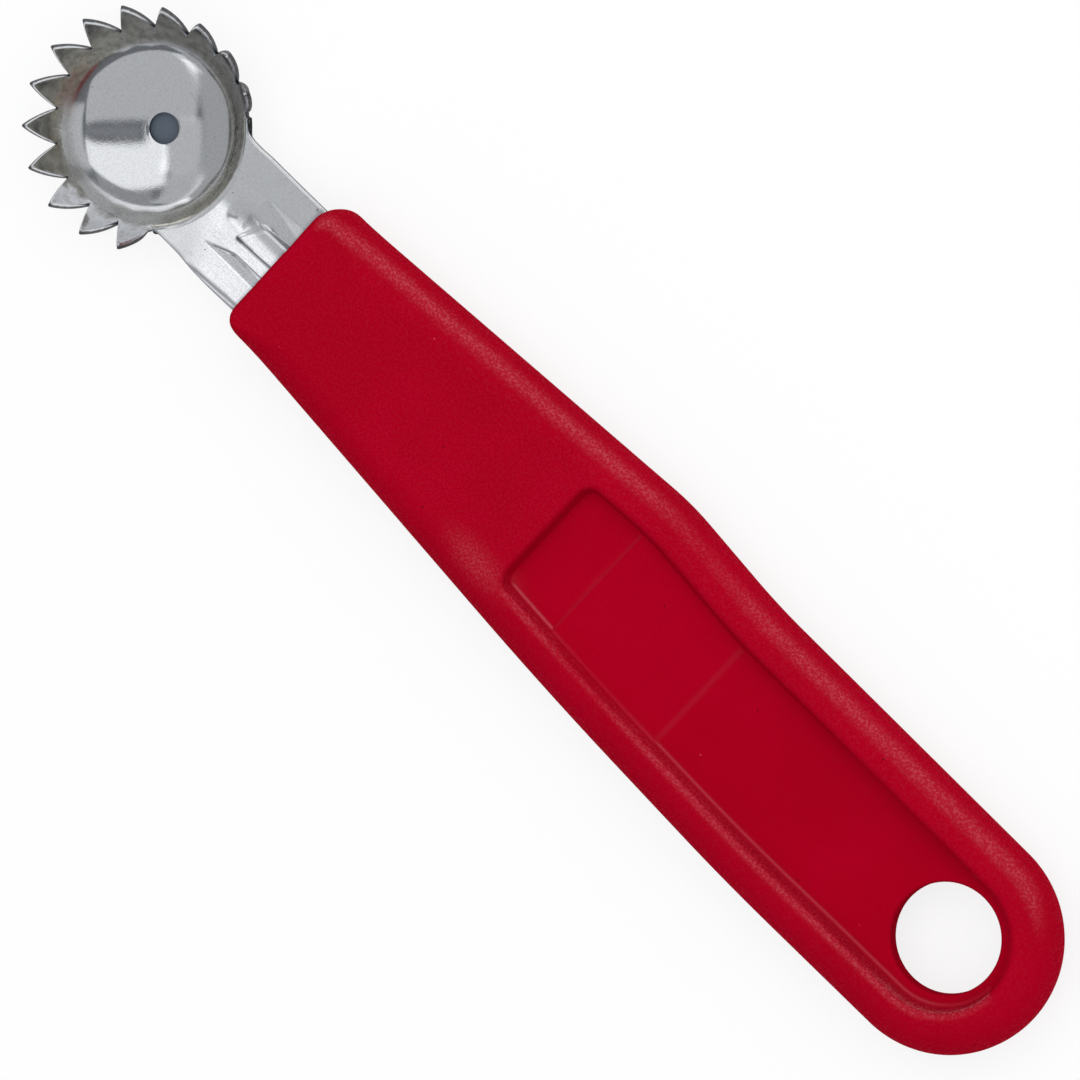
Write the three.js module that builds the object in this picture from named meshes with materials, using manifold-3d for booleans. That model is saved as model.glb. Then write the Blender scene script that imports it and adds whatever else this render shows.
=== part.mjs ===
// Tomato corer: a toothed steel scoop whose flat tang is moulded into a plastic handle.
// Millimetres, +Z up. The tool lies on the handle's back, with the scoop's hollow facing up.
// It is laid out from the middle of the handle's mouth, with +X towards the scoop, and the
// finished group is moved so that its origin is the middle of the part's footprint.
import * as THREE from "three";
import { mergeVertices } from "three/addons/utils/BufferGeometryUtils.js";
import Module from "manifold-3d";

const wasm = await Module();
wasm.setup();

// Handle: the thumb side is -Y, the palm side is +Y, and setbacks are counted from the mouth
const HANDLE_LENGTH = 127;
const HANDLE_THICKNESS = 10;
const MOUTH_WIDTH = 19.8;
const MOUTH_CORNER = 3;
const END_RADIUS = 13.7;
const SHOULDER_SETBACK = 56;
const SHOULDER_HALF_WIDTH = 14.5;
const SHOULDER_BLEND = 3;
const WAIST_SETBACK = 71.7;
const WAIST_HALF_WIDTH = 13.3;
const WAIST_BLEND = 4;
const BELLY_SETBACK = 58.5;
const BELLY_HALF_WIDTH = 13.5;
const BELLY_BLEND = 12.5;
const HIP_SETBACK = 89.7;
const HIP_HALF_WIDTH = 14.2;
const HIP_BLEND = 7.5;
const EDGE_ROUND = 4.7;
const MOUTH_EDGE_ROUND = 1;
const MOUTH_EDGE_RUN = 9; // length over which the mouth's small rounding grows to the full one

// Recess in both faces, and the hole that the tool hangs on
const RECESS_SETBACK = 46.5;
const RECESS_CORNER = 1.6;
const RIM_WIDTH = 5.65;
const RIM_ROUND = 1;
const WALL_DRAFT = 0.3;
const FLOOR_ROUND = 0.5;
const WEB = 3;
const HANG_HOLE_DIAMETER = 13.2;
const HANG_HOLE_ROUND = 0.5;

// Sheet-steel scoop: radii are those of its inner face
const SHEET = 0.8;
const SCOOP_REACH = 22.9; // mouth of the handle to the scoop's axis
const VALLEY_RADIUS = 11.7;
const TOOTH_SPREAD = 2.3; // of the tips, outside the valleys
const TOOTH_RISE = 4.7;
const TOOTH_COUNT = 13;
const TOOTH_PITCH_DEGREES = 20.3;
const TOOTH_TURN_DEGREES = 2.1; // of the ring of teeth, out of line with the neck
const TIP_LAND = 0.25;
const BOWL_DEPTH = 4.5;
const WALL_RADIUS = 6;
const DRAIN_DIAMETER = 3.8;

// Neck and tang: one strip, stiffened by a pressed trough with a rib along its middle
const NECK_THUMB_HALF_WIDTH = 7.9;
const NECK_PALM_HALF_WIDTH = 8.5;
const FLARE_LENGTH = 3.5;
const RIM_BEND = 1.2;
const TROUGH_START = 8.6; // ahead of the mouth
const TROUGH_RAMP = 3.6;
const TROUGH_WIDTH = 9.5;
const TROUGH_FLOOR_WIDTH = 6.4;
const TROUGH_DEPTH = 0.9;
const RIB_START = 5.8; // ahead of the mouth
const RIB_NOSE = 1.4;
const RIB_WIDTH = 3.5;
const RIB_HEIGHT = 0.9;
const TANG_LENGTH = 36;
const LOCK_HOLES = 2;
const LOCK_HOLE_DIAMETER = 5;
const LOCK_HOLE_SETBACK = 12;
const LOCK_HOLE_SPACING = 14;
const MOULD_GAP = 0.3; // between the steel and the plastic moulded round it

// How finely round stretches are divided
const CURVE_STEPS = 7;
const EDGE_STEPS = 5;
const CIRCLE_SIDES = 36;
const SCOOP_SIDES = 72;
const BOWL_STEPS = 5;
const NECK_ROWS = 16;

const overshoot = 2; // how far a cutter runs past what it cuts
const midHeight = HANDLE_THICKNESS / 2;
const edgeRound = Math.min(EDGE_ROUND, midHeight); // at most a full round
const neckTop = midHeight + SHEET / 2;
const tipRadius = VALLEY_RADIUS + TOOTH_SPREAD;
const toothPitch = THREE.MathUtils.degToRad(TOOTH_PITCH_DEGREES);
const toothTurn = THREE.MathUtils.degToRad(TOOTH_TURN_DEGREES);
const neckHalfAngle = Math.PI - (TOOTH_COUNT * toothPitch) / 2;
const toothSlope = Math.atan2(TOOTH_RISE, TOOTH_SPREAD);

// A closed geometry as a solid: shared corners are merged and collapsed triangles dropped.
function solidOf(geometry) {
  const bare = geometry.clone();
  bare.deleteAttribute("normal");
  bare.deleteAttribute("uv");
  const merged = mergeVertices(bare, 1e-4);
  const corners = merged.index.array;
  const kept = [];
  for (let i = 0; i < corners.length; i += 3) {
    const [a, b, c] = corners.slice(i, i + 3);
    if (a !== b && b !== c && c !== a) kept.push(a, b, c);
  }
  return new wasm.Manifold(
    new wasm.Mesh({
      numProp: 3,
      vertProperties: merged.attributes.position.array,
      triVerts: new Uint32Array(kept),
    }),
  );
}

function geometryFrom(positions, indices) {
  const geometry = new THREE.BufferGeometry();
  geometry.setAttribute("position", new THREE.Float32BufferAttribute(positions, 3));
  geometry.setIndex(indices);
  return geometry;
}

function meshOf(solid, name, material) {
  const { vertProperties, triVerts } = solid.getMesh();
  const mesh = new THREE.Mesh(geometryFrom(vertProperties, [...triVerts]), material);
  mesh.name = name;
  return mesh;
}

// A solid of revolution about the scoop's axis, from an outline of radius and height.
function turned(profile) {
  const upright = THREE.ShapeUtils.isClockWise(profile) ? profile.toReversed() : profile;
  const geometry = new THREE.LatheGeometry([...upright, upright[0]], SCOOP_SIDES);
  return solidOf(geometry.rotateX(Math.PI / 2).translate(SCOOP_REACH, 0, 0));
}

// Unit normals pointing into a counter-clockwise outline, one for each of its points.
function inwardNormals(outline) {
  const count = outline.length;
  return outline.map((point, i) => {
    const before = point.clone().sub(outline[(i + count - 1) % count]).normalize();
    const after = outline[(i + 1) % count].clone().sub(point).normalize();
    const along = before.add(after).normalize();
    return new THREE.Vector2(-along.y, along.x);
  });
}

// A closed solid of rings, lowest first: each is the outline moved inwards at its own height.
// insetAt changes a ring's inset where it isn't the same all round.
function stacked(outline, rings, insetAt = (inset) => inset) {
  const normals = inwardNormals(outline);
  const count = outline.length;
  const positions = [];
  const indices = [];
  for (const { inset, z } of rings) {
    outline.forEach((point, i) => {
      const move = insetAt(inset, point);
      positions.push(point.x + normals[i].x * move, point.y + normals[i].y * move, z);
    });
  }
  for (let ring = 0; ring < rings.length - 1; ring++) {
    for (let i = 0; i < count; i++) {
      const a = ring * count + i;
      const b = ring * count + ((i + 1) % count);
      indices.push(a, b, b + count, a, b + count, a + count);
    }
  }
  const lid = (rings.length - 1) * count;
  for (const [a, b, c] of THREE.ShapeUtils.triangulateShape(outline, [])) {
    indices.push(c, b, a, lid + a, lid + b, lid + c);
  }
  return solidOf(geometryFrom(positions, indices));
}

function cylinder(diameter, x, y, fromZ, toZ) {
  return stacked(circleOutline(diameter, x, y), [
    { inset: 0, z: fromZ },
    { inset: 0, z: toZ },
  ]);
}

function circleOutline(diameter, x, y) {
  const circle = new THREE.Path().absarc(x, y, diameter / 2, 0, 2 * Math.PI);
  return circle.getSpacedPoints(CIRCLE_SIDES).slice(0, -1);
}

// Rings of a quarter round between two insets and heights. It leaves the first one upright or flat.
function quarterRound(from, to, leavesUpright) {
  const rings = [];
  for (let step = 0; step <= EDGE_STEPS; step++) {
    const angle = (step / EDGE_STEPS) * (Math.PI / 2);
    const quick = Math.sin(angle);
    const slow = 1 - Math.cos(angle);
    rings.push({
      inset: THREE.MathUtils.lerp(from.inset, to.inset, leavesUpright ? slow : quick),
      z: THREE.MathUtils.lerp(from.z, to.z, leavesUpright ? quick : slow),
    });
  }
  return rings;
}

// Each side of the handle is a row of corners from the mouth back, with the length of each blend.
const endCentre = END_RADIUS - HANDLE_LENGTH;
const thumbSide = [
  { x: 0, y: -MOUTH_WIDTH / 2, blend: MOUTH_CORNER },
  { x: -SHOULDER_SETBACK, y: -SHOULDER_HALF_WIDTH, blend: SHOULDER_BLEND },
  { x: -WAIST_SETBACK, y: -WAIST_HALF_WIDTH, blend: WAIST_BLEND },
  { x: endCentre, y: -END_RADIUS, blend: 0 },
];
const palmSide = [
  { x: 0, y: MOUTH_WIDTH / 2, blend: MOUTH_CORNER },
  { x: -BELLY_SETBACK, y: BELLY_HALF_WIDTH, blend: BELLY_BLEND },
  { x: -HIP_SETBACK, y: HIP_HALF_WIDTH, blend: HIP_BLEND },
  { x: endCentre, y: END_RADIUS, blend: 0 },
];

// A side moved inwards and cut off at a new front, which gets a corner of its own.
function trimmedSide(side, inset, front, blend) {
  const inner = side.map((corner) => ({ ...corner, y: corner.y - Math.sign(corner.y) * inset }));
  const first = inner.findIndex(({ x }) => x < front);
  const ahead = inner[first - 1];
  const share = (front - ahead.x) / (inner[first].x - ahead.x);
  const y = THREE.MathUtils.lerp(ahead.y, inner[first].y, share);
  return [{ x: front, y, blend }, ...inner.slice(first)];
}

// A corner of the path as a curve that starts and ends a blend away, or less on a short side.
function roundCorner(path, before, corner, after) {
  const at = new THREE.Vector2(corner.x, corner.y);
  const [start, end] = [before, after].map((neighbour) => {
    const side = new THREE.Vector2(neighbour.x, neighbour.y).sub(at);
    return at.clone().add(side.setLength(Math.min(corner.blend, side.length() / 2)));
  });
  path.lineTo(start.x, start.y);
  path.quadraticCurveTo(at.x, at.y, end.x, end.y);
}

// The outline between two sides, counter-clockwise, with a straight front and a round end.
function gripOutline(thumb, palm) {
  const path = new THREE.Path().moveTo(palm[0].x, 0);
  const end = palm.at(-1);
  for (let i = 0; i < palm.length - 1; i++) {
    roundCorner(path, palm[i - 1] ?? thumb[0], palm[i], palm[i + 1]);
  }
  path.absarc(end.x, 0, end.y, Math.PI / 2, 1.5 * Math.PI);
  for (let i = thumb.length - 2; i >= 0; i--) {
    roundCorner(path, thumb[i + 1], thumb[i], thumb[i - 1] ?? palm[0]);
  }
  return path.getPoints(CURVE_STEPS);
}

function gripBody() {
  const rings = [
    ...quarterRound({ inset: edgeRound, z: 0 }, { inset: 0, z: edgeRound }, false),
    ...quarterRound(
      { inset: 0, z: HANDLE_THICKNESS - edgeRound },
      { inset: edgeRound, z: HANDLE_THICKNESS },
      true,
    ),
  ];
  const lesser = MOUTH_EDGE_ROUND / edgeRound;
  return stacked(gripOutline(thumbSide, palmSide), rings, (inset, { x }) => {
    const grown = THREE.MathUtils.smoothstep(-x, 0, MOUTH_EDGE_RUN);
    return inset * THREE.MathUtils.lerp(lesser, 1, grown);
  });
}

// What is cut from the front face and, upside down, from the back: a floor, a wall and a soft lip.
function recessCutters() {
  const outline = gripOutline(
    trimmedSide(thumbSide, RIM_WIDTH, -RECESS_SETBACK, RECESS_CORNER),
    trimmedSide(palmSide, RIM_WIDTH, -RECESS_SETBACK, RECESS_CORNER),
  );
  const floor = midHeight + WEB / 2;
  const lip = -WALL_DRAFT - RIM_ROUND;
  const rings = [
    ...quarterRound({ inset: FLOOR_ROUND, z: floor }, { inset: 0, z: floor + FLOOR_ROUND }, false),
    ...quarterRound(
      { inset: -WALL_DRAFT, z: HANDLE_THICKNESS - RIM_ROUND },
      { inset: lip, z: HANDLE_THICKNESS },
      true,
    ),
    { inset: lip, z: HANDLE_THICKNESS + overshoot },
  ];
  const flipped = rings.map(({ inset, z }) => ({ inset, z: HANDLE_THICKNESS - z })).toReversed();
  return [stacked(outline, rings), stacked(outline, flipped)];
}

function hangHoleCutter() {
  const low = midHeight - WEB / 2;
  const high = midHeight + WEB / 2;
  const wide = -HANG_HOLE_ROUND;
  return stacked(circleOutline(HANG_HOLE_DIAMETER, endCentre, 0), [
    { inset: wide, z: -overshoot },
    ...quarterRound({ inset: wide, z: low }, { inset: 0, z: low + HANG_HOLE_ROUND }, false),
    ...quarterRound({ inset: 0, z: high - HANG_HOLE_ROUND }, { inset: wide, z: high }, true),
    { inset: wide, z: HANDLE_THICKNESS + overshoot },
  ]);
}

// Radius and height of the scoop's faces where the wall leans by an angle, offset by a thickness.
// The wall's curve meets the teeth at their own slope, and runs into a shallower dish below.
const teethSine = Math.sin(toothSlope);
const teethCosine = Math.cos(toothSlope);
const wallCentre = new THREE.Vector2(VALLEY_RADIUS - WALL_RADIUS * teethSine, WALL_RADIUS * teethCosine);
const wallLift = wallCentre.y + BOWL_DEPTH; // of the curve's centre above the bottom of the dish
const dishRadius =
  (wallCentre.x ** 2 + wallLift ** 2 - WALL_RADIUS ** 2) / (2 * (wallLift - WALL_RADIUS));
const dishAngle = Math.asin(wallCentre.x / (dishRadius - WALL_RADIUS));
const bowlBottom = neckTop - BOWL_DEPTH;

function bowlPoint(angle, thickness) {
  const inDish = angle <= dishAngle;
  const radius = inDish ? dishRadius : WALL_RADIUS;
  const outward = inDish ? 0 : wallCentre.x;
  const height = inDish ? dishRadius : wallLift;
  return new THREE.Vector2(
    outward + (radius + thickness) * Math.sin(angle),
    bowlBottom + height - (radius + thickness) * Math.cos(angle),
  );
}

function tipPoint(thickness) {
  return new THREE.Vector2(
    tipRadius + thickness * teethSine,
    neckTop + TOOTH_RISE - thickness * teethCosine,
  );
}

// One face of the scoop from an angle near its middle out to the tips.
function scoopFace(startAngle, thickness) {
  const face = [];
  for (let step = 0; step < BOWL_STEPS; step++) {
    const angle = THREE.MathUtils.lerp(startAngle, dishAngle, step / BOWL_STEPS);
    face.push(bowlPoint(angle, thickness));
  }
  for (let step = 0; step <= BOWL_STEPS; step++) {
    const angle = THREE.MathUtils.lerp(dishAngle, toothSlope, step / BOWL_STEPS);
    face.push(bowlPoint(angle, thickness));
  }
  return [...face, tipPoint(thickness)];
}

// A V between two teeth, square to the sheet, whose sides run from the valley to the two tips.
function notchCutter(angle) {
  const outward = new THREE.Vector3(Math.cos(angle), Math.sin(angle), 0);
  const up = new THREE.Vector3(0, 0, 1);
  const across = up.clone().cross(outward);
  const along = outward.clone().multiplyScalar(teethCosine).addScaledVector(up, teethSine);
  const halfWidth = tipRadius * Math.sin(toothPitch / 2) - TIP_LAND / 2;
  const tipOutward = tipRadius * Math.cos(toothPitch / 2) - VALLEY_RADIUS;
  const height = tipOutward * teethCosine + TOOTH_RISE * teethSine;
  const beyond = 1 + overshoot / height;
  const triangle = new THREE.Shape([
    new THREE.Vector2(0, 0),
    new THREE.Vector2(halfWidth * beyond, height * beyond),
    new THREE.Vector2(-halfWidth * beyond, height * beyond),
  ]);
  const reach = SHEET + overshoot;
  const wedge = new THREE.ExtrudeGeometry(triangle, { depth: 2 * reach, bevelEnabled: false });
  const place = new THREE.Matrix4().makeBasis(across, along, across.clone().cross(along));
  place.setPosition(SCOOP_REACH + VALLEY_RADIUS * outward.x, VALLEY_RADIUS * outward.y, neckTop);
  return solidOf(wedge.translate(0, 0, -reach).applyMatrix4(place));
}

// The slice of space that the neck takes of the scoop's ring.
function neckSector(fromZ, toZ) {
  const middle = new THREE.Vector2(SCOOP_REACH, 0);
  const corners = [-neckHalfAngle, neckHalfAngle].map((angle) => {
    const towards = new THREE.Vector2(2 * tipRadius, 0);
    return towards.rotateAround(new THREE.Vector2(), Math.PI + toothTurn + angle).add(middle);
  });
  return stacked([middle, ...corners], [
    { inset: 0, z: fromZ },
    { inset: 0, z: toZ },
  ]);
}

function toothedBowl() {
  const drainRadius = DRAIN_DIAMETER / 2;
  const inner = scoopFace(Math.asin(drainRadius / dishRadius), 0);
  const outer = scoopFace(Math.asin(drainRadius / (dishRadius + SHEET)), SHEET);
  let bowl = turned([...inner, ...outer.toReversed()]);
  for (let valley = 0; valley <= TOOTH_COUNT; valley++) {
    bowl = bowl.subtract(notchCutter(Math.PI + toothTurn + neckHalfAngle + valley * toothPitch));
  }
  return bowl.subtract(neckSector(neckTop, neckTop + TOOTH_RISE + overshoot));
}

// Everything inside the scoop's inner face, up past its tips.
function bowlSpace() {
  const face = scoopFace(0, 0);
  const top = neckTop + TOOTH_RISE + overshoot;
  return turned([...face, new THREE.Vector2(tipRadius, top), new THREE.Vector2(0, top)]);
}

// The corner that is rounded off where the neck bends down into the bowl.
function rimBendCutter() {
  const tangent = RIM_BEND * Math.tan(toothSlope / 2);
  const inside = VALLEY_RADIUS - tangent * teethCosine - overshoot;
  const profile = [];
  for (let step = 0; step <= BOWL_STEPS; step++) {
    const angle = (step / BOWL_STEPS) * toothSlope;
    profile.push(
      new THREE.Vector2(
        VALLEY_RADIUS + tangent - RIM_BEND * Math.sin(angle),
        neckTop - RIM_BEND + RIM_BEND * Math.cos(angle),
      ),
    );
  }
  profile.push(
    new THREE.Vector2(inside, neckTop - tangent * teethSine),
    new THREE.Vector2(inside, neckTop + overshoot),
    new THREE.Vector2(VALLEY_RADIUS + tangent, neckTop + overshoot),
  );
  return turned(profile).intersect(neckSector(0, neckTop + 2 * overshoot));
}

// The strip's half-width on one side at a place along the neck: 1 is the palm side, -1 the thumb side.
// Each edge runs out to its last valley, and the two valleys aren't level with each other.
function stripHalfWidth(x, side) {
  const plain = side > 0 ? NECK_PALM_HALF_WIDTH : NECK_THUMB_HALF_WIDTH;
  const angle = neckHalfAngle - side * toothTurn;
  const flare = VALLEY_RADIUS * Math.sin(angle) - plain;
  const meeting = SCOOP_REACH - VALLEY_RADIUS * Math.cos(angle);
  const share = THREE.MathUtils.clamp((x - meeting + FLARE_LENGTH) / FLARE_LENGTH, 0, 1);
  return plain + flare * share ** 2;
}

// Depth of the trough and height of the rib at a place along the neck.
function troughDepth(x) {
  return TROUGH_DEPTH * THREE.MathUtils.clamp((TROUGH_START - x) / TROUGH_RAMP, 0, 1);
}

function ribHeight(x) {
  const share = THREE.MathUtils.clamp((RIB_START - x) / RIB_NOSE, 0, 1);
  return RIB_HEIGHT * Math.sin((share * Math.PI) / 2);
}

// Points across the strip from its middle to one edge, with heights above its plane.
function stripSection(x, side, grow) {
  const depth = troughDepth(x);
  const wallWidth = (TROUGH_WIDTH - TROUGH_FLOOR_WIDTH) / 2;
  const narrowest = wallWidth / 10;
  const foot = TROUGH_WIDTH / 2 - Math.max(narrowest, (wallWidth * depth) / TROUGH_DEPTH);
  const ribShares = [0, 0.5, 0.85, 1];
  return [
    ...ribShares.map((share) => ({
      y: (side * share * RIB_WIDTH) / 2,
      z: ribHeight(x) * Math.sqrt(1 - share ** 2) - depth,
    })),
    { y: side * foot, z: -depth },
    { y: (side * TROUGH_WIDTH) / 2, z: 0 },
    { y: side * (stripHalfWidth(x, side) + grow), z: 0 },
  ];
}

// Neck and tang as one closed strip of sheet, grown all round where it shapes the mould gap.
function strip(grow) {
  const near = Math.min(TROUGH_START - TROUGH_RAMP, RIB_START - RIB_NOSE);
  const far = SCOOP_REACH - VALLEY_RADIUS * Math.cos(neckHalfAngle + toothTurn);
  const rows = [-TANG_LENGTH - grow];
  for (let row = 0; row <= NECK_ROWS; row++) {
    rows.push(THREE.MathUtils.lerp(near, far, row / NECK_ROWS));
  }
  const lower = [];
  const upper = [];
  for (const x of rows) {
    const thumb = stripSection(x, -1, grow).toReversed();
    const palm = stripSection(x, 1, grow).slice(1);
    for (const { y, z } of [...thumb, ...palm]) {
      lower.push(x, y, midHeight + z - SHEET / 2 - grow);
      upper.push(x, y, midHeight + z + SHEET / 2 + grow);
    }
  }
  const points = lower.length / 3;
  const across = points / rows.length;
  const indices = [];
  const addQuad = (a, b, c, d) => indices.push(a, b, c, a, c, d);
  for (let row = 0; row < rows.length - 1; row++) {
    const start = row * across;
    for (let i = start; i < start + across - 1; i++) {
      addQuad(i, i + 1, i + across + 1, i + across);
      addQuad(points + i, points + i + across, points + i + across + 1, points + i + 1);
    }
    const edge = start + across - 1;
    addQuad(start, start + across, points + start + across, points + start);
    addQuad(edge, points + edge, points + edge + across, edge + across);
  }
  const front = points - across;
  for (let i = 0; i < across - 1; i++) {
    addQuad(i, points + i, points + i + 1, i + 1);
    addQuad(front + i, front + i + 1, points + front + i + 1, points + front + i);
  }
  return solidOf(geometryFrom([...lower, ...upper], indices));
}

// Round pieces at the tang's lock holes, tall enough to pass the pressed trough and rib.
function atLockHoles(diameter) {
  const reach = SHEET + TROUGH_DEPTH + RIB_HEIGHT + MOULD_GAP;
  const round = [];
  for (let hole = 0; hole < LOCK_HOLES; hole++) {
    const x = -LOCK_HOLE_SETBACK - hole * LOCK_HOLE_SPACING;
    round.push(cylinder(diameter, x, 0, midHeight - reach, midHeight + reach));
  }
  return round;
}

function scoopBlade() {
  const neck = strip(0).subtract(bowlSpace());
  let blade = toothedBowl().add(neck).subtract(rimBendCutter());
  for (const hole of atLockHoles(LOCK_HOLE_DIAMETER)) blade = blade.subtract(hole);
  return blade;
}

function handle() {
  let pocket = strip(MOULD_GAP);
  for (const plug of atLockHoles(LOCK_HOLE_DIAMETER - 2 * MOULD_GAP)) pocket = pocket.subtract(plug);
  let grip = gripBody();
  for (const cutter of [...recessCutters(), hangHoleCutter(), pocket]) grip = grip.subtract(cutter);
  return grip;
}

const stainlessSteel = new THREE.MeshStandardMaterial({
  color: 0xb4b6b9,
  roughness: 0.28,
  metalness: 1,
});
const redPlastic = new THREE.MeshStandardMaterial({
  color: 0xa3011d,
  roughness: 0.5,
  metalness: 0,
});

const corer = new THREE.Group();
corer.add(meshOf(scoopBlade(), "scoop_blade", stainlessSteel));
corer.add(meshOf(handle(), "handle", redPlastic));
const box = new THREE.Box3().setFromObject(corer);
const middle = box.getCenter(new THREE.Vector3());
corer.position.set(-middle.x, -middle.y, -box.min.z);

export default corer;
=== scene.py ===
import bmesh
import bpy
import numpy as np
from mathutils import Matrix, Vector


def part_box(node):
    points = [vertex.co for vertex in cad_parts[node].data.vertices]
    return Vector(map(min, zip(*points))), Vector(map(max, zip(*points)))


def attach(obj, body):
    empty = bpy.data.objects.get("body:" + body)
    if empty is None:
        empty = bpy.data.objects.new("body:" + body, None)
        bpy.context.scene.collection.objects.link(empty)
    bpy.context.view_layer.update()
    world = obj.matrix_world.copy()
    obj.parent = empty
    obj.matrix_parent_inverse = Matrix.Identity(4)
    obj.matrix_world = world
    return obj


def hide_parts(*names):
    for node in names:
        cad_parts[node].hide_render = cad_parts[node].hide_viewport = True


# Tomato corer: a toothed steel scoop whose tang is moulded into a red plastic handle.
# Shapes are worked out in millimetres from the middle of the handle's mouth, +X to the scoop,
# -Y the thumb side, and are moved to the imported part's place and scaled to metres at the end.
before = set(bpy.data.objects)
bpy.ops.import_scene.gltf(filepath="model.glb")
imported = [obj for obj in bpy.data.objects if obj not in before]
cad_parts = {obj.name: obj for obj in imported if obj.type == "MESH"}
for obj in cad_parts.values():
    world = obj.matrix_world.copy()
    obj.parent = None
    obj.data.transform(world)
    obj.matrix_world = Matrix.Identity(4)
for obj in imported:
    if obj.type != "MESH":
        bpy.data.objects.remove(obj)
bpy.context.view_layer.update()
mm = 0.001
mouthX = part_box("handle")[1].x / mm
print("frame loaded, mouth at x =", round(mouthX, 3), "mm")

# Camera: the photograph's direction, turned and framed as the photograph is
view = {
    "target": (-1.045, 1.471, 5.0),
    "azimuth": -127.653,
    "elevation": 73.035,
    "roll": -98.112,
    "distance": 1000.2,
    "lens": 282.565,
    "sensor": 36,
}


# Right, up and backward directions of the view: the level ones turned by the roll.
def viewAxes():
    azimuth, elevation, roll = np.radians([view["azimuth"], view["elevation"], view["roll"]])
    flat = np.cos(elevation)
    back = np.array([flat * np.cos(azimuth), flat * np.sin(azimuth), np.sin(elevation)])
    levelRight = np.array([-np.sin(azimuth), np.cos(azimuth), 0])
    levelUp = np.cross(back, levelRight)
    up = np.cos(roll) * levelUp - np.sin(roll) * levelRight
    return np.cross(up, back), up, back


def placeAt(obj, right, up, back, position):
    matrix = np.eye(4)
    matrix[:3, :3] = np.column_stack([right, up, back])
    matrix[:3, 3] = position
    obj.matrix_world = Matrix(matrix.tolist())
    bpy.context.scene.collection.objects.link(obj)


def makeCamera():
    data = bpy.data.cameras.new("photoCamera")
    data.lens = view["lens"]
    data.sensor_width = view["sensor"]
    data.clip_end = 10
    camera = bpy.data.objects.new("photoCamera", data)
    right, up, back = viewAxes()
    position = (np.array(view["target"]) + back * view["distance"]) * mm
    placeAt(camera, right, up, back, position)
    bpy.context.scene.camera = camera


makeCamera()
print("camera placed")


# Mesh helpers: a patch is an array of points, rows by columns
def smooth(value, low, high):
    share = np.clip((value - low) / (high - low), 0, 1)
    return share * share * (3 - 2 * share)


# A bell curve: 1 at the middle, falling to 1/e at the spread.
def bell(value, middle, spread):
    return np.exp(-(((value - middle) / spread) ** 2))


# Rises from 0 to 1 between the first two limits and falls back between the last two.
def plateau(value, limits):
    return smooth(value, limits[0], limits[1]) * (1 - smooth(value, limits[2], limits[3]))


# A quadratic curve: it leaves the start towards the corner and comes into the end from it.
def quadratic(start, corner, end, share):
    rest = 1 - share
    return rest * rest * start + 2 * rest * share * corner + share * share * end


def patchFaces(rows, columns, first, flipped):
    a = first + (np.arange(rows - 1)[:, None] * columns + np.arange(columns - 1)).ravel()
    quads = np.column_stack([a, a + 1, a + columns + 1, a + columns])
    return quads[:, ::-1] if flipped else quads


weldDistance = 2e-6  # in metres


# Welds the vertices that lie together and drops the faces that collapse.
def weld(mesh):
    work = bmesh.new()
    work.from_mesh(mesh)
    bmesh.ops.remove_doubles(work, verts=work.verts, dist=weldDistance)
    bmesh.ops.dissolve_degenerate(work, edges=work.edges, dist=weldDistance / 2)
    work.to_mesh(mesh)
    work.free()


# Patches joined into one mesh. Each is (points, attribute values by name, whether its faces are
# turned over).
def meshOf(name, patches, attributes):
    points = []
    faces = []
    values = {key: [] for key in attributes}
    count = 0
    for patch, extras, flipped in patches:
        rows, columns = patch.shape[:2]
        points.append(patch.reshape(-1, 3))
        faces.append(patchFaces(rows, columns, count, flipped))
        for key in attributes:
            filled = np.broadcast_to(extras.get(key, 0.0), (rows, columns))
            values[key].append(filled.ravel())
        count += rows * columns
    placed = (np.concatenate(points) + (mouthX, 0, 0)) * mm
    mesh = bpy.data.meshes.new(name)
    mesh.from_pydata(placed.tolist(), [], np.concatenate(faces).tolist())
    for key in attributes:
        layer = mesh.attributes.new(key, "FLOAT", "POINT")
        layer.data.foreach_set("value", np.concatenate(values[key]).astype(np.float32))
    weld(mesh)
    mesh.shade_smooth()
    return mesh


def addPiece(name, mesh, materials):
    for material in materials:
        mesh.materials.append(material)
    piece = bpy.data.objects.new(name, mesh)
    bpy.context.scene.collection.objects.link(piece)
    return piece


# Replaces a piece's mesh by the one that its modifiers make, and marks its sharp edges.
def finishMesh(piece, sharpAngle):
    bpy.context.view_layer.update()
    shown = piece.evaluated_get(bpy.context.evaluated_depsgraph_get())
    mesh = bpy.data.meshes.new_from_object(shown)
    mesh.name = piece.data.name
    piece.modifiers.clear()
    piece.data = mesh
    mesh.set_sharp_from_angle(angle=np.radians(sharpAngle))


# Node helpers: a socket is linked to another one or set to a plain value
def feed(tree, socket, value):
    if isinstance(value, bpy.types.NodeSocket):
        tree.links.new(value, socket)
    else:
        socket.default_value = value


def feedInputs(tree, node, inputs):
    for key, value in inputs.items():
        feed(tree, node.inputs[key], value)


def addNode(tree, kind, settings=(), inputs=()):
    node = tree.nodes.new(kind)
    for key, value in dict(settings).items():
        setattr(node, key, value)
    feedInputs(tree, node, dict(inputs))
    return node


def mathNode(tree, operation, a, b=0.0):
    return addNode(tree, "ShaderNodeMath", {"operation": operation}, {0: a, 1: b}).outputs[0]


def rangeNode(tree, value, fromLow, fromHigh, toLow=0.0, toHigh=1.0):
    inputs = {
        "Value": value,
        "From Min": fromLow,
        "From Max": fromHigh,
        "To Min": toLow,
        "To Max": toHigh,
    }
    return addNode(tree, "ShaderNodeMapRange", {"interpolation_type": "SMOOTHSTEP"}, inputs).outputs[0]


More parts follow.
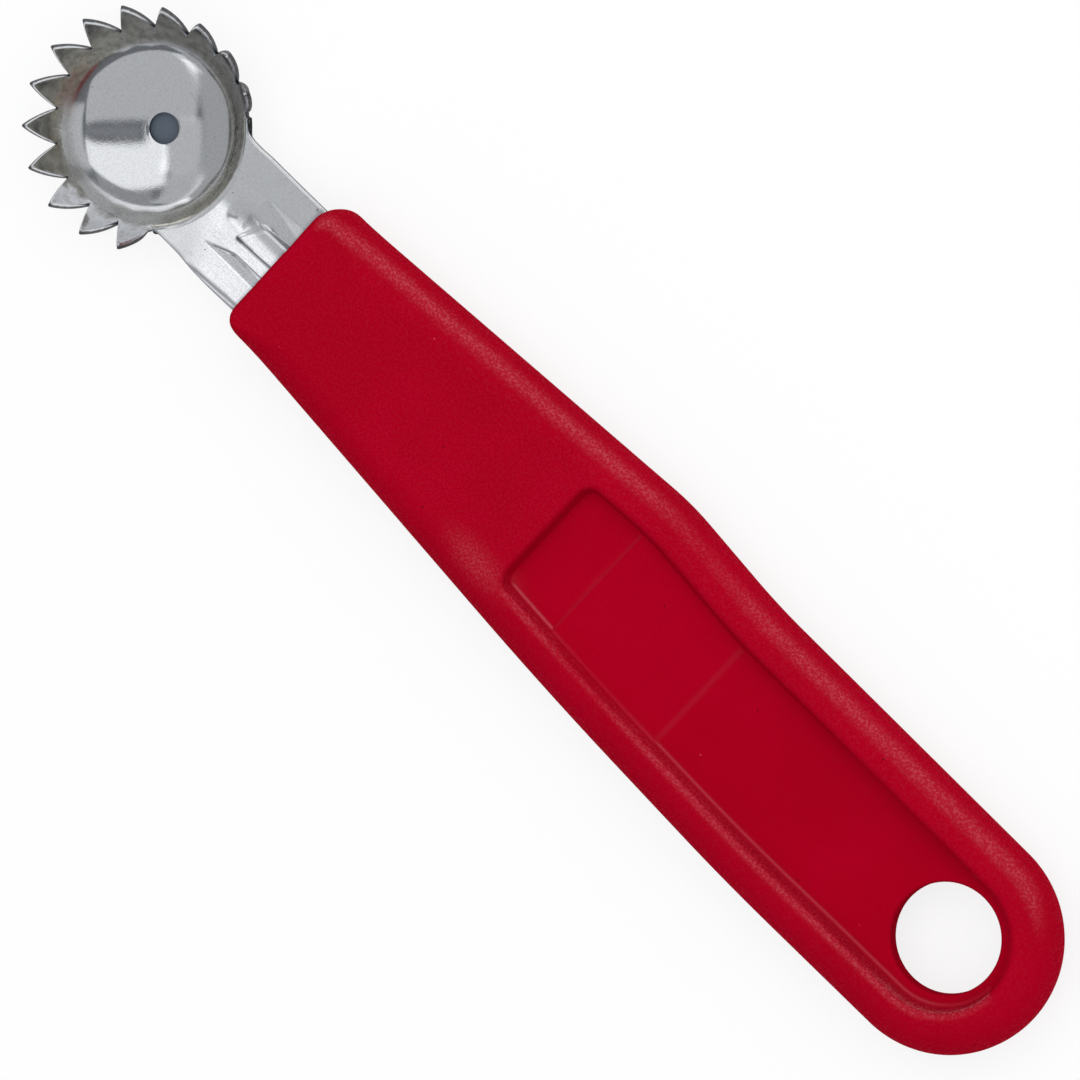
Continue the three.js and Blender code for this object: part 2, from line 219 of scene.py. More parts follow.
def mixColour(tree, share, a, b):
    node = addNode(tree, "ShaderNodeMix", {"data_type": "RGBA"})
    sockets = {socket.identifier: socket for socket in [*node.inputs, *node.outputs]}
    for key, value in {"Factor_Float": share, "A_Color": a, "B_Color": b}.items():
        feed(tree, sockets[key], value)
    return sockets["Result_Color"]


def noiseNode(tree, vector, scale, detail, roughness):
    inputs = {"Vector": vector, "Scale": scale, "Detail": detail, "Roughness": roughness}
    return addNode(tree, "ShaderNodeTexNoise", (), inputs).outputs["Fac"]


def bumpNode(tree, height, distance):
    inputs = {"Height": height, "Distance": distance, "Strength": 1.0}
    return addNode(tree, "ShaderNodeBump", (), inputs).outputs["Normal"]


def attributeNode(tree, name):
    return addNode(tree, "ShaderNodeAttribute", {"attribute_name": name}).outputs["Fac"]


def objectPlace(tree):
    return addNode(tree, "ShaderNodeTexCoord").outputs["Object"]


def newMaterial(name):
    material = bpy.data.materials.new(name)
    material.use_nodes = True
    return material, material.node_tree, material.node_tree.nodes["Principled BSDF"]


# Wear that plastic and steel share: scattered specks, fine stretched scratches, slow mottling.
# A noise is given by its detail and roughness here, and by its scale before them in a material.
scuffForm = {
    "speckEdge": (0.6, 1.0),
    "scratchTurn": (0, 0, 0.6),
    "scratchStretch": (0.08, 1, 1),
    "scratchNoise": (3, 0.6),
    "scratchRange": (0.56, 0.68),
    "mottleNoise": (3, 0.55),
}


def makeScuffs():
    group = bpy.data.node_groups.new("scuffs", "ShaderNodeTree")
    sockets = group.interface
    sockets.new_socket("Vector", in_out="INPUT", socket_type="NodeSocketVector")
    for name in ("Speck Scale", "Speck Size", "Scratch Scale", "Mottle Scale"):
        sockets.new_socket(name, in_out="INPUT", socket_type="NodeSocketFloat")
    for name in ("Specks", "Scratches", "Mottle"):
        sockets.new_socket(name, in_out="OUTPUT", socket_type="NodeSocketFloat")
    given = addNode(group, "NodeGroupInput").outputs
    cells = addNode(
        group,
        "ShaderNodeTexVoronoi",
        {"feature": "F1"},
        {"Vector": given["Vector"], "Scale": given["Speck Scale"]},
    )
    outwards = mathNode(group, "DIVIDE", cells.outputs["Distance"], given["Speck Size"])
    specks = rangeNode(group, outwards, *scuffForm["speckEdge"], 1.0, 0.0)
    turned = addNode(
        group,
        "ShaderNodeMapping",
        (),
        {
            "Vector": given["Vector"],
            "Rotation": scuffForm["scratchTurn"],
            "Scale": scuffForm["scratchStretch"],
        },
    )
    lines = noiseNode(group, turned.outputs[0], given["Scratch Scale"], *scuffForm["scratchNoise"])
    scratches = rangeNode(group, lines, *scuffForm["scratchRange"])
    mottle = noiseNode(group, given["Vector"], given["Mottle Scale"], *scuffForm["mottleNoise"])
    result = addNode(group, "NodeGroupOutput")
    feedInputs(group, result, {"Specks": specks, "Scratches": scratches, "Mottle": mottle})
    return group


scuffs = makeScuffs()


def scuffNode(tree, place, sizes):
    inputs = {"Vector": place, **sizes}
    return addNode(tree, "ShaderNodeGroup", {"node_tree": scuffs}, inputs).outputs


# Red plastic: a satin moulding with a fine leathery grain outside, smoother in the recess, with
# a painted highlight along its edges: a paler red and a glossier coat, most on the grain's tops
plasticLook = {
    "red": (0.381, 0.0003, 0.0135, 1),
    "deepRed": (0.355, 0.0003, 0.0115, 1),
    "redMottle": (0.35, 0.65),
    # the painted highlight's paler red
    "highlightRed": (0.46, 0.018, 0.043, 1),
    "paleSpeck": (0.5, 0.05, 0.08, 1),
    "darkSpeck": (0.03, 0.004, 0.006, 1),
    "speckMottle": (0.49, 0.51),
    "scuffs": {"Speck Scale": 245, "Speck Size": 0.03, "Mottle Scale": 60},
    "grain": (3200, 3, 0.6),
    "grainHeight": 0.00008,
    "grainTops": (0.42, 0.62),
    "hollowSheen": 0.25,  # share of the painted highlight that the grain's hollows take
    "grainPolish": 0.05,
    "roughMottle": (0.3, 0.7),
    "roughness": (0.42, 0.55),
    "coatRoughness": 0.32,
}


def redPlastic():
    look = plasticLook
    material, tree, shader = newMaterial("redPlastic")
    place = objectPlace(tree)
    wear = scuffNode(tree, place, look["scuffs"])
    paintedSheen = attributeNode(tree, "paintedSheen")
    grained = attributeNode(tree, "grained")
    grain = noiseNode(tree, place, *look["grain"])
    tops = rangeNode(tree, grain, *look["grainTops"])
    held = rangeNode(tree, grained, 0.0, 1.0, 1.0, look["hollowSheen"])
    # painted highlight: a paler red and coat gloss along the handle's highlight lines, less in the
    # grain's hollows
    rimHighlight = mathNode(tree, "MULTIPLY", paintedSheen, mathNode(tree, "MAXIMUM", tops, held))
    topShine = mathNode(tree, "MULTIPLY", mathNode(tree, "MULTIPLY", tops, grained), look["grainPolish"])
    sheenAndGloss = mathNode(tree, "MAXIMUM", rimHighlight, topShine)
    deep = rangeNode(tree, wear["Mottle"], *look["redMottle"])
    body = mixColour(tree, deep, look["red"], look["deepRed"])
    body = mixColour(tree, sheenAndGloss, body, look["highlightRed"])
    pale = rangeNode(tree, wear["Mottle"], *look["speckMottle"])
    speck = mixColour(tree, pale, look["darkSpeck"], look["paleSpeck"])
    inputs = {
        "Base Color": mixColour(tree, wear["Specks"], body, speck),
        "Roughness": rangeNode(tree, wear["Mottle"], *look["roughMottle"], *look["roughness"]),
        "Normal": bumpNode(tree, mathNode(tree, "MULTIPLY", grain, grained), look["grainHeight"]),
        "Coat Weight": sheenAndGloss,
        "Coat Roughness": look["coatRoughness"],
        "Specular IOR Level": 0.0,
    }
    feedInputs(tree, shader, inputs)
    return material


# Steel: bright pressed sheet with fine scratches and pits, a painted reflection of brighter steel on the
# neck's palm half, painted shade as a blotched brown tone on the steep wall and the teeth, and frosted
# in patches on the palm side
steelLook = {
    "bright": (0.66, 0.67, 0.685, 1),
    "sheenBright": (0.88, 0.89, 0.91, 1),
    "brownShade": (0.5, 0.48, 0.41, 1),
    "frosted": (0.86, 0.88, 0.92, 1),
    "blotch": (0.22, 0.205, 0.165, 1),
    "speckle": (0.45, 0.46, 0.48, 1),
    "pitAndShade": (0.13, 0.14, 0.16, 1),
    "scuffs": {"Speck Scale": 900, "Speck Size": 0.1, "Scratch Scale": 1600, "Mottle Scale": 220},
    "frostFrom": (0.3, 0.6),
    "frostMottle": (0.4, 0.52),
    "frostMetal": 0.55,
    "stain": (1000, 3, 0.65),
    "stainRange": (0.4, 0.65),
    "stainLevel": 0.7,
    "speckles": (4200, 2, 0.7),
    "speckleRange": (0.35, 0.75),
    "speckleLevel": 0.45,
    "speckleHeight": 0.000005,
    "ripple": 10.0,  # over the speckles' height
    "pitMottle": (0.5, 0.65),
    "roughMottle": (0.3, 0.7),
    "roughness": (0.06, 0.1),
    "steepRoughness": 0.1,
    "scratchRoughness": 0.05,
    "frostRoughness": 0.4,
}
bladeMasks = ("steep", "shadeAndGrime", "frost", "paintedSheen")  # attributes of the blade, 0 to 1


def brightSteel():
    look = steelLook
    material, tree, shader = newMaterial("brightSteel")
    place = objectPlace(tree)
    wear = scuffNode(tree, place, look["scuffs"])
    steep, shadeAndGrime, frost, paintedSheen = [attributeNode(tree, name) for name in bladeMasks]
    frostPatches = rangeNode(tree, wear["Mottle"], *look["frostMottle"])
    frosted = mathNode(tree, "MULTIPLY", rangeNode(tree, frost, *look["frostFrom"]), frostPatches)
    stain = noiseNode(tree, place, *look["stain"])
    stain = rangeNode(tree, stain, *look["stainRange"], 0.0, look["stainLevel"])
    speckle = noiseNode(tree, place, *look["speckles"])
    pitPatches = rangeNode(tree, wear["Mottle"], *look["pitMottle"])
    pits = mathNode(tree, "MULTIPLY", wear["Specks"], pitPatches)
    layers = {
        # painted reflection: a brighter steel on the neck's palm half
        "sheenBright": paintedSheen,
        # painted shade: a darker brown tone, with darker blotches, on the steep wall, the bend and the
        # teeth
        "brownShade": steep,
        "frosted": frosted,
        "blotch": mathNode(tree, "MULTIPLY", steep, stain),
        "speckle": rangeNode(tree, speckle, *look["speckleRange"], 0.0, look["speckleLevel"]),
        # the pits' dark tone also paints shade into the neck's creases, spots, palm edge and mouth band
        "pitAndShade": mathNode(tree, "MAXIMUM", pits, shadeAndGrime),
    }
    colour = look["bright"]
    for tone, share in layers.items():
        colour = mixColour(tree, share, colour, look[tone])
    rough = rangeNode(tree, wear["Mottle"], *look["roughMottle"], *look["roughness"])
    added = {
        "steepRoughness": steep,
        "scratchRoughness": wear["Scratches"],
        "frostRoughness": frost,
    }
    for key, share in added.items():
        rough = mathNode(tree, "ADD", rough, mathNode(tree, "MULTIPLY", share, look[key]))
    uneven = mathNode(tree, "MULTIPLY", wear["Mottle"], mathNode(tree, "MAXIMUM", steep, frosted))
    ripple = mathNode(tree, "MULTIPLY", uneven, look["ripple"])
    inputs = {
        "Base Color": colour,
        "Roughness": rough,
        "Metallic": rangeNode(tree, frosted, 0.0, 1.0, 1.0, look["frostMetal"]),
        "Normal": bumpNode(tree, mathNode(tree, "ADD", speckle, ripple), look["speckleHeight"]),
    }
    feedInputs(tree, shader, inputs)
    return material


# A sheared edge: burnished beside the inner face, torn beside the outer one, rougher there and painted
# dark as shade
cutLook = {
    "cut": (0.64, 0.66, 0.69, 1),
    "tornShade": (0.13, 0.13, 0.135, 1),
    "scuffs": {"Mottle Scale": 1500},
    "ragged": 0.3,
    "tearLine": (0.5, 0.62),
    "roughMottle": (0.3, 0.7),
    "roughness": (0.22, 0.4),
    "tornRoughness": 0.2,
}


def cutSteel():
    look = cutLook
    material, tree, shader = newMaterial("cutSteel")
    wear = scuffNode(tree, objectPlace(tree), look["scuffs"])
    ragged = mathNode(tree, "MULTIPLY", wear["Mottle"], look["ragged"])
    across = mathNode(tree, "ADD", attributeNode(tree, "across"), ragged)
    tornShade = rangeNode(tree, across, *look["tearLine"])
    rough = rangeNode(tree, wear["Mottle"], *look["roughMottle"], *look["roughness"])
    rough = mathNode(tree, "ADD", rough, mathNode(tree, "MULTIPLY", tornShade, look["tornRoughness"]))
    # painted shade: the torn side of the cut edge is dark
    colour = mixColour(tree, tornShade, look["cut"], look["tornShade"])
    inputs = {"Base Color": colour, "Roughness": rough, "Metallic": 1.0}
    feedInputs(tree, shader, inputs)
    return material


# Neck: a strip whose halves lean to the middle, with a wedge pressed down into each half, a low
# flat rib between them and a rolled palm edge
neck = {
    "sheet": 0.8,
    "midHeight": 5.0,
    "tangLength": 36,
    "rimX": 12.0,  # where the lines across the neck are read for the rim
    "straightX": 9.4,  # where the rows along the neck have become straight
    "lean": 0.06,
    "leanSoft": (0.35, 0.9),
    "leanSoftAlong": (4.5, 8),
    "leanMiddle": 4.2,
    "palmSlope": 0.46,
    "palmStep": 4.0,
    "thumbSlope": 0.3,
    "thumbDepth": 0.55,
    "thumbRamp": 6.4,
    "ribHeight": 0.3,
    "ribPalmFlank": 0.28,
    "ribFlank": 1.8,
    "ribSoft": 0.06,
    "ribNose": (5.7, 0.3),
    "ribNoseAcross": (-1.7, 1.3),
    "ribNoseLengths": (0.5, 1.7),
    "rollDrop": 0.5,
    "dimpleDepth": 0.2,
    "dimpleAcross": (-2.2, -0.2, 0.2, 1.3),
    "dimpleAlong": (5.9, 6.9, 7.5, 9.3),
    "settle": 1.5,
    "frost": 0.25,
    "sheenAcross": (-0.6, 0.8),
    "dullSkew": 0.5,
    "dullAlong": (9.5, 14),
}
# lines of the pressing, from the palm side to the thumb side: places along the neck and across it
neckLines = {
    "palmEdge": ((0, 2, 5, 7.2, 10, 12, 14.8), (8.56, 8.62, 8.66, 8.6, 8.36, 8.36, 8.41)),
    "palmRoll": ((0, 9.2, 12), (7.6, 8.3, 8.2)),
    "palmWedgeTop": ((0, 8.5), (4.95, 4.98)),
    "palmWedgeFoot": ((0, 4.8, 5.7, 8.5), (3.46, 3.63, 3.9, 4.98)),
    "palmWedgeLip": ((0, 4.8, 5.7, 8.5), (3.3, 3.47, 3.79, 4.98)),
    "ribPalmFoot": ((0, 5.9), (1.65, 2.0)),
    "ribPalmTop": ((0, 5.9), (1.42, 1.7)),
    "ribCrest": ((0, 5.9), (0.07, 0.07)),
    "ribThumbTop": ((0, 4.9), (-1.5, -1.28)),
    "ribThumbFoot": ((0, 2.5, 4.9), (-1.97, -1.74, -1.38)),
    "thumbWedgeLip": ((0, 6.4), (-3.2, -4.18)),
    "thumbWedgeTop": ((0, 6.4), (-4.7, -4.18)),
    "thumbEdge": (
        (0, 4.5, 9.5, 11, 12.3, 13.2, 14.1, 15.4),
        (-8.15, -8.06, -8.0, -7.9, -7.9, -8.05, -8.4, -8.98),
    ),
}
lineSteps = (5, 9, 9, 3, 7, 4, 8, 8, 4, 7, 9, 12)  # columns between one line and the next


def neckLine(name, x):
    return np.interp(x, *neckLines[name])


# Across places of the neck's columns at each x: shared out evenly between one line and the next.
def neckColumns(x):
    lines = np.stack([neckLine(name, x) for name in neckLines], axis=-1)
    first = np.repeat(np.arange(len(lineSteps)), lineSteps)
    share = np.concatenate([np.arange(n) / n for n in lineSteps])
    column = np.arange(len(first))
    y = lines[:, column, first] * (1 - share) + lines[:, column, first + 1] * share
    return np.concatenate([y, lines[:, -1:, -1]], axis=1)


# Height of the pressed sheet over the strip's plane: the lean of the halves, a facet and a steep
# step that sink the palm wedge, the higher of the thumb wedge's floor and the rib with its steep
# thumb flank, the rolled edge and the dimple before the rib.
def pressedHeight(x, y):
    leanSoft = np.interp(x, neck["leanSoftAlong"], neck["leanSoft"])
    lean = neck["lean"] * (np.hypot(y - neckLine("ribCrest", x), leanSoft) - neck["leanMiddle"])
    palmFacet = neck["palmSlope"] * np.maximum(neckLine("palmWedgeTop", x) - y, 0)
    palmStep = neck["palmStep"] * np.maximum(y - neckLine("palmWedgeLip", x), 0)
    thumbFacet = neck["thumbSlope"] * np.maximum(y - neckLine("thumbWedgeTop", x), 0)
    thumbFloor = neck["thumbDepth"] * np.clip(1 - x / neck["thumbRamp"], 0, 1)
    palmRise = smooth(neckLine("ribPalmFoot", x) - y, 0, neck["ribPalmFlank"])
    noseX = neck["ribNose"][0] + neck["ribNose"][1] * y
    noseLength = np.interp(-y, neck["ribNoseAcross"], neck["ribNoseLengths"])
    past = neckLine("ribThumbTop", x) - y
    flank = neck["ribFlank"] * (np.hypot(past, neck["ribSoft"]) + past) / 2
    rib = neck["ribHeight"] * palmRise * smooth(noseX - x, 0, noseLength) - flank
    middle = np.maximum(-np.minimum(thumbFacet, thumbFloor), rib)
    roll = neck["rollDrop"] * np.maximum(y - neckLine("palmRoll", x), 0) ** 2
    dimple = neck["dimpleDepth"] * plateau(y, neck["dimpleAcross"]) * plateau(x, neck["dimpleAlong"])
    return lean + middle - np.minimum(palmFacet, palmStep) - roll - dimple


# Painted shade on the neck, with one dirt spot. Creases: shift from the line, spread, spread added
# towards the rib's nose, the stretch along the neck over which it fades, level. Spots: place, spreads
# along and across, level.
neckShadeAndDirt = {
    "creases": {
        "ribPalmFoot": (-0.14, 0.12, 0.2, (5.9, 6.3), 1.0),
        "palmWedgeLip": (0.06, 0.14, 0.0, (7.0, 8.0), 0.75),
        "palmRoll": (0.05, 0.16, 0.0, (7.0, 9.0), 0.75),
    },
    "widens": (4.6, 5.9),
    "spots": (
        # a dirt mark; the two spots after it are painted shade at the dimple and at the rib's nose
        (0.93, -7.54, 0.15, 0.15, 1.0),
        (7.2, 0.35, 0.9, 0.45, 0.3),
        (6.0, -0.9, 0.9, 0.6, 0.45),
    ),
    "edge": (-0.24, -0.06, 0.75),
    "mouth": (0.45, 0.3, 0.45),
}


# How dark the neck is painted, 0 to 1: the greatest of the bell curves across its creases, the round
# spots, a strip along the palm edge and a band before the handle's mouth. All are painted shade except
# the first spot, which is a dirt mark.
def neckShadeAndGrime(x, y):
    marks = []
    for name, (shift, spread, wider, fading, level) in neckShadeAndDirt["creases"].items():
        width = spread + wider * smooth(x, *neckShadeAndDirt["widens"])
        crease = bell(y - neckLine(name, x), shift, width)
        marks.append(level * crease * (1 - smooth(x, *fading)))
    for spotX, spotY, along, across, level in neckShadeAndDirt["spots"]:
        marks.append(level * bell(x, spotX, along) * bell(y, spotY, across))
    low, high, level = neckShadeAndDirt["edge"]
    marks.append(level * smooth(y - neckLine("palmEdge", x), low, high))
    middle, spread, level = neckShadeAndDirt["mouth"]
    marks.append(level * bell(x, middle, spread))
    return np.maximum.reduce(marks)


# Handle: a flat tapering moulding with round edges, a long recess on each face and a hang hole
grip = {
    "length": 127,
    "thickness": 10,
    "endRadius": 13.7,
    "thumbCorners": ((0, 10.04, 3), (-56, 14.5, 3), (-71.7, 13.3, 4)),
    "palmCorners": ((0, 9.76, 3), (-58.5, 13.57, 12.5), (-89.7, 14.26, 7.5)),
    "edgeRound": 4.7,
    "mouthEdge": 1,
    "mouthRun": 9,
    "recessFront": -46.5,
    "frontSteep": 1.5,
    "recessCorner": 1.6,
    "flankLean": -0.073,
    "rimWidth": 5.65,
    "lipRound": 1,
    "draft": 0.3,
    "floorRound": 0.5,
    "web": 3,
    "floorRise": 1.1,
    "floorRamp": (75, 104),
    "padRise": 0.3,
    "padSteps": ((-54.7, 0.6), (-72.7, 1.4)),  # places and lengths of the steps up and down
    "holeRadius": 6.6,
    "holeRound": 0.5,
    "holeTurn": 15,  # from the end's middle to where the columns leave the spine for the hang hole
    "slotClearance": 0.06,
    "recessGrain": 0.2,
    "grainFade": (-0.2, 0.3),
    "sharpAngle": 50,
}
# where the mesh has its rows and columns
gripGrid = {
    "edgeRows": (0, 60, 10),  # degrees round the edge
    "rimRows": ((2.6, 4.2, 7), (4.35, 5.25, 9), (5.31, 5.65, 6), (5.72, 6.2, 8)),  # insets
    "floorRows": 20,
    "floorCrowding": 1.6,
    "mouth": 70,
    "slot": 9,
    "slotGap": 0.004,
    "corner": 14,
    "flank": 130,
    "front": (-1.8, 2, 42),
    "padStep": (-1, 1, 13),
    "end": 40,
    "hole": 8,
    "pocket": 9,
    "blend": 80,  # points of the curves that the columns are read from
    "cornerCurve": 200,
    "flankCurve": 6000,
    "spine": (-3, -5, -6),  # ends of the columns from the mouth's middle and its corner's ends
    "straightReach": 3,  # beyond the recess's front and the pad's back
}
endX = grip["endRadius"] - grip["length"]
halfThick = grip["thickness"] / 2
holeReach = grip["holeRadius"] + grip["holeRound"]
holeTurn = endX + grip["holeTurn"]

# insets of the rows from the outline over the round edge and the lip to the recess's floor
edgeAngles = np.radians(np.linspace(*gripGrid["edgeRows"]))
edgeInsets = grip["edgeRound"] * (1 - np.cos(edgeAngles))
rimInsets = np.concatenate([edgeInsets, *(np.linspace(*rows) for rows in gripGrid["rimRows"])])


# One flank from the mouth's corner to the end's arc: straight runs joined by quadratic blends.
def flankCurve(corners):
    chain = [*corners, (endX, grip["endRadius"], 0)]
    share = np.linspace(0, 1, gripGrid["blend"])[:, None]
    stretches = []
    for i in range(len(chain) - 1):
        at = np.array(chain[i][:2], float)
        after = np.array(chain[i + 1][:2], float)
        before = np.array(chain[i - 1][:2] if i else (0, -at[1]), float)
        ends = []
        for other in (before, after):
            length = np.linalg.norm(other - at)
            ends.append(at + (other - at) * min(chain[i][2], length / 2) / length)
        stretches.append(quadratic(ends[0], at, ends[1], share))
    stretches.append(np.array([[endX, grip["endRadius"]]]))
    corner = stretches[0]
    flank = np.concatenate([stretches[0][-1:], *stretches[1:]])
    return corner, flank


# Columns round half of the outline, from the mouth's middle to the end: points, inward normals
# and the point on the spine or round the hang hole that each column runs to.
def gripColumns(corners, slotHalf):
    grid = gripGrid
    corner, flank = flankCurve(corners)
    tip = np.array(corners[0][:2])
    spineMiddle, spineCorner, spineFlank = grid["spine"]

    # the mouth's straight front
    mouthY = np.linspace(0, corner[0, 1], grid["mouth"])[:-1]
    mouth = np.column_stack([0 * mouthY, mouthY])
    mouthSpine = np.linspace(spineMiddle, spineCorner, grid["mouth"])[:-1]

    # its corner, with two columns close together where the slot ends
    t = np.linspace(0, 1, grid["cornerCurve"])
    slotShare = np.interp(slotHalf, quadratic(corner[0, 1], tip[1], corner[-1, 1], t), t)
    toSlot = np.linspace(0, slotShare - grid["slotGap"], grid["slot"])
    pastSlot = np.linspace(slotShare, 1, grid["corner"])[:-1]
    shares = np.concatenate([toSlot, pastSlot])[:, None]
    slotCount = len(mouth) + len(toSlot)
    turn = (1 - shares) * (tip - corner[0]) + shares * (corner[-1] - tip)
    turn /= np.linalg.norm(turn, axis=1)[:, None]
    bent = quadratic(corner[0], tip, corner[-1], shares)
    bentSpine = np.linspace(spineCorner, spineFlank, len(bent) + 1)[:-1]

    # the flank, with columns close together at the recess's front and the pad's steps, where they
    # run straight across
    front = grip["recessFront"]
    (padFront, padRun), (padBack, padFall) = grip["padSteps"]
    close = [
        front + np.linspace(*grid["front"]),
        padFront + padRun * np.linspace(*grid["padStep"]),
        padBack + padFall * np.linspace(*grid["padStep"]),
    ]
    even = np.linspace(-corners[0][2], endX, grid["flank"])
    stations = -np.unique(np.round(-np.concatenate([even, *close, [holeTurn]]), 4))
    straightFrom = front + grid["straightReach"]
    straightTo = padBack - grid["straightReach"]
    straight = np.array([stations[0], straightFrom, straightTo, holeTurn])
    spineEnds = np.array([spineFlank, straightFrom, straightTo, endX + holeReach])
    flankSpine = -np.interp(-stations - grip["flankLean"] * rimInsets[-1], -straight, -spineEnds)
    stations[0] = flank[0, 0]
    fine = np.linspace(flank[0, 0], endX, grid["flankCurve"])
    fineY = np.interp(-fine, -flank[:, 0], flank[:, 1])
    slope = np.interp(-stations, -fine, np.gradient(fineY, fine))
    side = np.column_stack([stations, np.interp(-stations, -fine, fineY)])
    sideNormals = np.column_stack([slope, -np.ones_like(slope)]) / np.sqrt(1 + slope**2)[:, None]
    sideTurn = np.clip((holeTurn - stations) / (holeTurn - endX), 0, 1) * np.pi / 2

    # the round end
    angles = np.linspace(np.pi / 2, np.pi, grid["end"])[1:]
    spokes = np.column_stack([np.cos(angles), np.sin(angles)])
    end = np.array([endX, 0]) + grip["endRadius"] * spokes

    points = np.concatenate([mouth, bent, side, end])
    mouthNormals = np.tile([-1.0, 0.0], (len(mouth), 1))
    bentNormals = np.column_stack([-turn[:, 1], turn[:, 0]])
    normals = np.concatenate([mouthNormals, bentNormals, sideNormals, -spokes])
    onSpine = stations > holeTurn + 1e-3
    spine = np.concatenate([mouthSpine, bentSpine, flankSpine[onSpine]])
    holeAngle = np.concatenate([sideTurn[~onSpine], angles])
    ring = np.array([endX, 0]) + holeReach * np.column_stack([np.cos(holeAngle), np.sin(holeAngle)])
    inner = np.concatenate([np.column_stack([spine, 0 * spine]), ring])
    return points, normals, inner, len(ring), slotCount, (fine, fineY)


# Share of the pad's rise at each place along the recess: up the front step and down the back one.
def padShare(x):
    up, down = [smooth(-x, -at - length / 2, -at + length / 2) for at, length in grip["padSteps"]]
    return up - down


# Height of the recess's floor over the mid-plane: half the web at the hang hole, rising to the front,
# and a pad that is a step higher.
def floorHeight(x):
    ramp = 1 - smooth(-x, *grip["floorRamp"])
    return grip["web"] / 2 + grip["floorRise"] * ramp + grip["padRise"] * padShare(x)


# Height of the recess's surface over the mid-plane where a point is some way inside its outline:
# a soft lip, a drafted wall, a fillet and the floor.
def recessHeight(inside, floor):
    lip, draft, fillet = grip["lipRound"], grip["draft"], grip["floorRound"]
    top = halfThick - lip
    foot = floor + fillet
    onLip = np.clip((-draft - inside) / lip, 0, 1)
    onFillet = np.clip(inside / fillet, 0, 1)
    lipZ = top + lip * np.sqrt(1 - (1 - onLip) ** 2)
    wallZ = foot + (top - foot) * np.clip(-inside / draft, 0, 1)
    filletZ = floor + fillet * (1 - np.sqrt(1 - (1 - onFillet) ** 2))
    return np.where(inside < -draft, lipZ, np.where(inside < 0, wallZ, filletZ))


# How far a point lies inside the recess's outline: the lesser of the way in from the front and
# from the flank or the end's arc, rounded at the corners.
def recessDepth(x, y, flankLine):
    front = (grip["recessFront"] - x) * grip["frontSteep"]
    flank = np.interp(-x, -flankLine[0], flankLine[1]) - grip["rimWidth"] - np.abs(y)
    arc = grip["endRadius"] - grip["rimWidth"] - np.hypot(x - endX, y)
    side = np.where(x > endX, flank, arc)
    corner = grip["recessCorner"]
    nearCorner = (front < corner) & (side < corner)
    rounded = corner - np.hypot(corner - front, corner - side)
    return np.where(nearCorner, rounded, np.minimum(front, side))


# Painted highlights of the handle: a line has an inset and a spread, and limits where it starts and ends
gripSheenLines = {
    "floorFrom": (0.3, 0.6),
    "stepShine": (0.25, 0.1),
    "waistDull": (-62, 8, 0.6),  # place, spread and loss
    "thumbLine": (1.65, 0.7),
    "thumbStart": (6.2, 8),  # out from the middle
    "thumbEnd": (116, 123),
    "palmLine": (5.15, 0.6),
    "palmStart": (-2, 3),  # behind the recess's front
    "palmEnd": (116, 127),
    "palmEndLoss": 0.6,
    "palmGlow": (-43, 4.5, 4.8, 1.8, 0.6),  # place and spread along, inset and spread, level
    "filletLine": (-0.3, 0.18),
    "filletStart": (0.5, 1.5),
    "filletEnd": (116, 121),
    "filletLevels": (0.85, 0.45),  # ahead of the pad and behind it
}


# How strongly a flank is painted with highlight, 0 to 1: a line along the thumb side's round edge,
# dull at the waist; on the palm side a glow before the recess, a line on the rim's inner side, the
# fillet ahead of the pad and behind it; and on both the pad's steps.
def gripSheen(x, y, inset, sunk, side):
    wear = gripSheenLines
    inside = smooth(sunk, *wear["floorFrom"])
    steps = zip(grip["padSteps"], wear["stepShine"])
    lines = inside * sum(level * bell(x, at, length / 4) for (at, length), level in steps)
    waistX, waistSpread, waistLoss = wear["waistDull"]
    waist = 1 - waistLoss * bell(x, waistX, waistSpread)
    if side < 0:
        along = waist * smooth(y, *wear["thumbStart"]) * (1 - smooth(-x, *wear["thumbEnd"]))
        return np.maximum(lines, bell(inset, *wear["thumbLine"]) * along)
    back = grip["recessFront"] - x
    onRim = waist * smooth(back, *wear["palmStart"])
    onRim = onRim * (1 - wear["palmEndLoss"] * smooth(-x, *wear["palmEnd"]))
    rim = bell(inset, *wear["palmLine"]) * onRim
    glowX, glowRun, glowInset, glowSpread, glowLevel = wear["palmGlow"]
    glow = glowLevel * bell(x, glowX, glowRun) * bell(inset, glowInset, glowSpread)
    padEnds = [-at for at, length in grip["padSteps"]]
    fillet = bell(-sunk, *wear["filletLine"]) * smooth(back, *wear["filletStart"]) * (1 - padShare(x))
    fillet = fillet * np.interp(-x, padEnds, wear["filletLevels"]) * (1 - smooth(-x, *wear["filletEnd"]))
    return np.maximum.reduce([lines, glow, rim, fillet])


